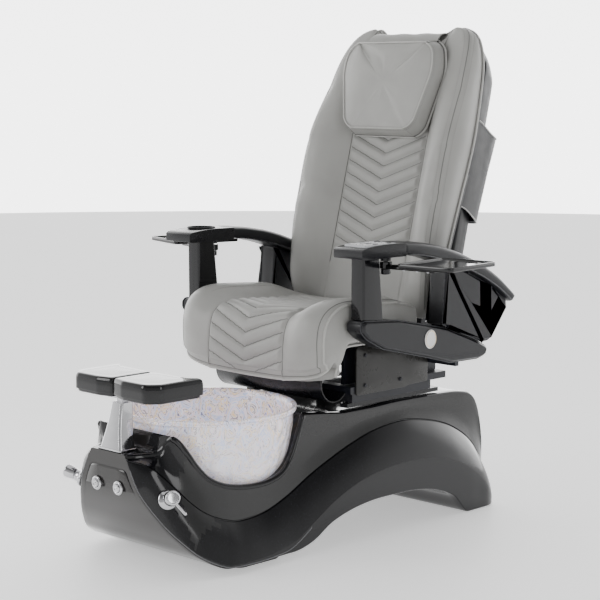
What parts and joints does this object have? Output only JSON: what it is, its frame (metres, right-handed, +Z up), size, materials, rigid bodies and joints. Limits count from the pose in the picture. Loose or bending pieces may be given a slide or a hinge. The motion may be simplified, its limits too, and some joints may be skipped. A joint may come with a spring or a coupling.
{
  "type": "pedicure spa chair",
  "caption": "Reclining massage chair with lift-up arms and swivel trays on a moulded arch base that holds a crystal foot bowl, footrest, mixer valve and jet buttons.",
  "frame": {"origin": "on the floor, under the centre of the object's bounding box", "axes": "+X to the sitter's left, -Y to the front where the footrest is, +Z up"},
  "size_m": [1.2501, 1.3304, 1.4501],
  "materials": {
    "gloss_black": "polished black gel coat",
    "satin_black": "satin black moulding",
    "grey_leather": "soft grey leatherette with fine grain",
    "black_leather": "black leatherette with fine grain",
    "chrome": "polished",
    "painted_steel": "powder coat",
    "bright_steel": "ground",
    "crystal_glass": "hammered, with an iridescent film",
    "white_badge": "blank white enamel",
    "keypad": "pale membrane",
    "dark_rubber": "matte"
  },
  "bodies": {
    "base": {"base_shell": "gloss_black", "access_panel": "gloss_black", "toe_kick": "satin_black", "base_frame": "painted_steel", "jet_bezel_left": "chrome", "jet_bezel_right": "chrome", "glass_bowl": "crystal_glass", "drain_flange": "chrome", "valve_flange": "chrome", "spray_holder": "chrome", "footrest_shroud": "chrome", "slide_rail_left": "bright_steel", "slide_rail_right": "bright_steel", "slide_motor": "painted_steel"},
    "jet_button_left": {"jet_button_left": "chrome"},
    "jet_button_right": {"jet_button_right": "chrome"},
    "drain_stopper": {"drain_stopper": "chrome"},
    "valve_stem": {"valve_stem": "chrome"},
    "valve_handle": {"valve_handle": "chrome"},
    "hand_shower": {"hand_shower": "chrome"},
    "footrest": {"footrest_column": "painted_steel", "footrest_pad_left": "gloss_black", "footrest_pad_right": "gloss_black"},
    "seat": {"carriage_frame": "painted_steel", "recline_shaft": "bright_steel", "arm_crossbar": "painted_steel", "front_skirt": "satin_black", "side_cover_left": "satin_black", "side_cover_right": "satin_black", "seat_pan": "painted_steel", "recline_actuator": "painted_steel", "seat_cushion": "grey_leather", "arm_base_left": "black_leather", "arm_base_right": "black_leather", "badge_left": "white_badge", "badge_right": "white_badge"},
    "arm_left": {"arm_post_left": "satin_black", "arm_head_left": "satin_black", "arm_pad_left": "black_leather", "arm_panel_left": "black_leather", "tray_pivot_left": "satin_black", "control_panel": "keypad"},
    "arm_right": {"arm_post_right": "satin_black", "arm_head_right": "satin_black", "arm_pad_right": "black_leather", "arm_panel_right": "black_leather", "tray_pivot_right": "satin_black", "cup_holder": "dark_rubber"},
    "tray_left": {"tray_left": "satin_black"},
    "tray_right": {"tray_right": "satin_black"},
    "back": {"back_pad": "grey_leather", "back_shell": "satin_black", "back_frame": "painted_steel", "pillow": "grey_leather", "pillow_strap": "grey_leather", "rear_pocket": "black_leather", "massage_track": "bright_steel"},
    "massage_carriage": {"massage_carriage": "painted_steel"},
    "massage_roller_left": {"massage_roller_left": "dark_rubber"},
    "massage_roller_right": {"massage_roller_right": "dark_rubber"}
  },
  "joints": [
    {"name": "jet_button_left_press", "type": "slide", "parent": "base", "child": "jet_button_left", "axis": [0, 1, 0], "range_m": [0, 0.0025], "stiffness_N_per_m": 400},
    {"name": "jet_button_right_press", "type": "slide", "parent": "base", "child": "jet_button_right", "axis": [0, 1, 0], "range_m": [0, 0.0025], "stiffness_N_per_m": 400},
    {"name": "drain_stopper_lift", "type": "slide", "parent": "base", "child": "drain_stopper", "axis": [0, 0, 1], "range_m": [0, 0.02]},
    {"name": "valve_turn", "type": "hinge", "parent": "base", "child": "valve_stem", "pos_m": [0.176, -0.6, 0.214], "axis": [0.8751, -0.3521, 0.3319], "range_deg": [-60, 60]},
    {"name": "valve_tilt", "type": "hinge", "parent": "valve_stem", "child": "valve_handle", "pos_m": [0.19963, -0.60951, 0.22296], "axis": [0.4344, 0.8738, -0.2185], "range_deg": [0, 12]},
    {"name": "hand_shower_pull", "type": "slide", "parent": "base", "child": "hand_shower", "axis": [-0.8751, -0.3521, 0.3319], "range_m": [0, 0.1]},
    {"name": "footrest_height", "type": "slide", "parent": "base", "child": "footrest", "axis": [0, 0, 1], "range_m": [0, 0.07]},
    {"name": "seat_slide", "type": "slide", "parent": "base", "child": "seat", "axis": [0, 1, 0], "range_m": [0, 0.1]},
    {"name": "back_recline", "type": "hinge", "parent": "seat", "child": "back", "pos_m": [0, 0.4, 0.52], "axis": [-1, 0, 0], "range_deg": [0, 30]},
    {"name": "arm_lift_left", "type": "hinge", "parent": "seat", "child": "arm_left", "pos_m": [0.344, 0.448, 0.54], "axis": [-1, 0, 0], "range_deg": [0, 60]},
    {"name": "arm_lift_right", "type": "hinge", "parent": "seat", "child": "arm_right", "pos_m": [-0.344, 0.448, 0.54], "axis": [-1, 0, 0], "range_deg": [0, 60]},
    {"name": "tray_swivel_left", "type": "hinge", "parent": "arm_left", "child": "tray_left", "pos_m": [0.35, 0.04, 0.79], "axis": [0, 0, 1], "range_deg": [-45, 10]},
    {"name": "tray_swivel_right", "type": "hinge", "parent": "arm_right", "child": "tray_right", "pos_m": [-0.35, 0.04, 0.79], "axis": [0, 0, -1], "range_deg": [-54, 2]},
    {"name": "massage_travel", "type": "slide", "parent": "back", "child": "massage_carriage", "axis": [0, 0.2504, 0.9681], "range_m": [-0.08, 0.36]},
    {"name": "massage_roller_left_spin", "type": "hinge", "parent": "massage_carriage", "child": "massage_roller_left", "pos_m": [0.08, 0.44994, 0.81695], "axis": [1, 0, 0], "continuous": true},
    {"name": "massage_roller_right_spin", "type": "hinge", "parent": "massage_carriage", "child": "massage_roller_right", "pos_m": [-0.08, 0.44994, 0.81695], "axis": [1, 0, 0], "continuous": true}
  ]
}
